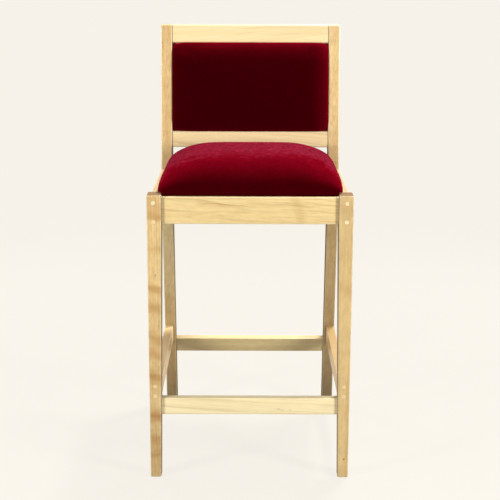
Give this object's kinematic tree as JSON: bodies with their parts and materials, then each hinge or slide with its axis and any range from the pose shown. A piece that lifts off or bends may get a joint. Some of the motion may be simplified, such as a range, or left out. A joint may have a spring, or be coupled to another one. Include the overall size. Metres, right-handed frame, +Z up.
{
  "type": "bar stool",
  "caption": "Bar-height stool with a tapered solid-wood frame, stretchers, a domed velvet seat and a raked back with a velvet panel between two wooden rails.",
  "frame": {"origin": "on the floor, under the middle of the stool's bounding box", "axes": "+Z up; the front of the stool faces -Y and the raked back is towards +Y; +X is to the right of someone facing the front"},
  "size_m": [0.468, 0.5186, 1.0392],
  "materials": {
    "maple_leg": "clear satin lacquer over tan maple, grain along the leg",
    "maple_rail": "clear satin lacquer over pale maple, grain along the rail",
    "maple_plug": "clear satin lacquer over face-grain maple plugs",
    "plywood": "bare sanded plywood",
    "velvet": "deep crimson cut-pile velvet over foam",
    "cambric": "black non-woven dust cloth",
    "steel": "bright zinc-plated screws"
  },
  "bodies": {
    "root": {"front_leg_left": "maple_leg", "front_leg_right": "maple_leg", "rear_leg_left": "maple_leg", "rear_leg_right": "maple_leg", "front_seat_rail": "maple_rail", "rear_seat_rail": "maple_rail", "side_seat_rail_left": "maple_rail", "side_seat_rail_right": "maple_rail", "front_stretcher": "maple_rail", "rear_stretcher": "maple_rail", "side_stretcher_left": "maple_rail", "side_stretcher_right": "maple_rail", "crest_rail": "maple_rail", "lower_back_rail": "maple_rail", "corner_block_front_left": "maple_rail", "corner_block_front_right": "maple_rail", "corner_block_rear_left": "maple_rail", "corner_block_rear_right": "maple_rail", "seat_deck": "plywood", "seat_dust_cover": "cambric", "seat_cushion": "velvet", "seat_screw_front_left": "steel", "seat_screw_front_right": "steel", "seat_screw_rear_left": "steel", "seat_screw_rear_right": "steel", "back_board": "plywood", "back_pad": "velvet", "back_outer_pad": "velvet", "rail_plug_front_left_lower": "maple_plug", "rail_screw_front_left_lower": "steel", "rail_plug_front_left_upper": "maple_plug", "rail_screw_front_left_upper": "steel", "rail_plug_front_right_lower": "maple_plug", "rail_screw_front_right_lower": "steel", "rail_plug_front_right_upper": "maple_plug", "rail_screw_front_right_upper": "steel", "rail_plug_rear_left_lower": "maple_plug", "rail_screw_rear_left_lower": "steel", "rail_plug_rear_left_upper": "maple_plug", "rail_screw_rear_left_upper": "steel", "rail_plug_rear_right_lower": "maple_plug", "rail_screw_rear_right_lower": "steel", "rail_plug_rear_right_upper": "maple_plug", "rail_screw_rear_right_upper": "steel", "stretcher_plug_front_left_lower": "maple_plug", "stretcher_screw_front_left_lower": "steel", "stretcher_plug_front_left_upper": "maple_plug", "stretcher_screw_front_left_upper": "steel", "stretcher_plug_front_right_lower": "maple_plug", "stretcher_screw_front_right_lower": "steel", "stretcher_plug_front_right_upper": "maple_plug", "stretcher_screw_front_right_upper": "steel", "stretcher_plug_rear_left_lower": "maple_plug", "stretcher_screw_rear_left_lower": "steel", "stretcher_plug_rear_left_upper": "maple_plug", "stretcher_screw_rear_left_upper": "steel", "stretcher_plug_rear_right_lower": "maple_plug", "stretcher_screw_rear_right_lower": "steel", "stretcher_plug_rear_right_upper": "maple_plug", "stretcher_screw_rear_right_upper": "steel"}
  },
  "joints": []
}
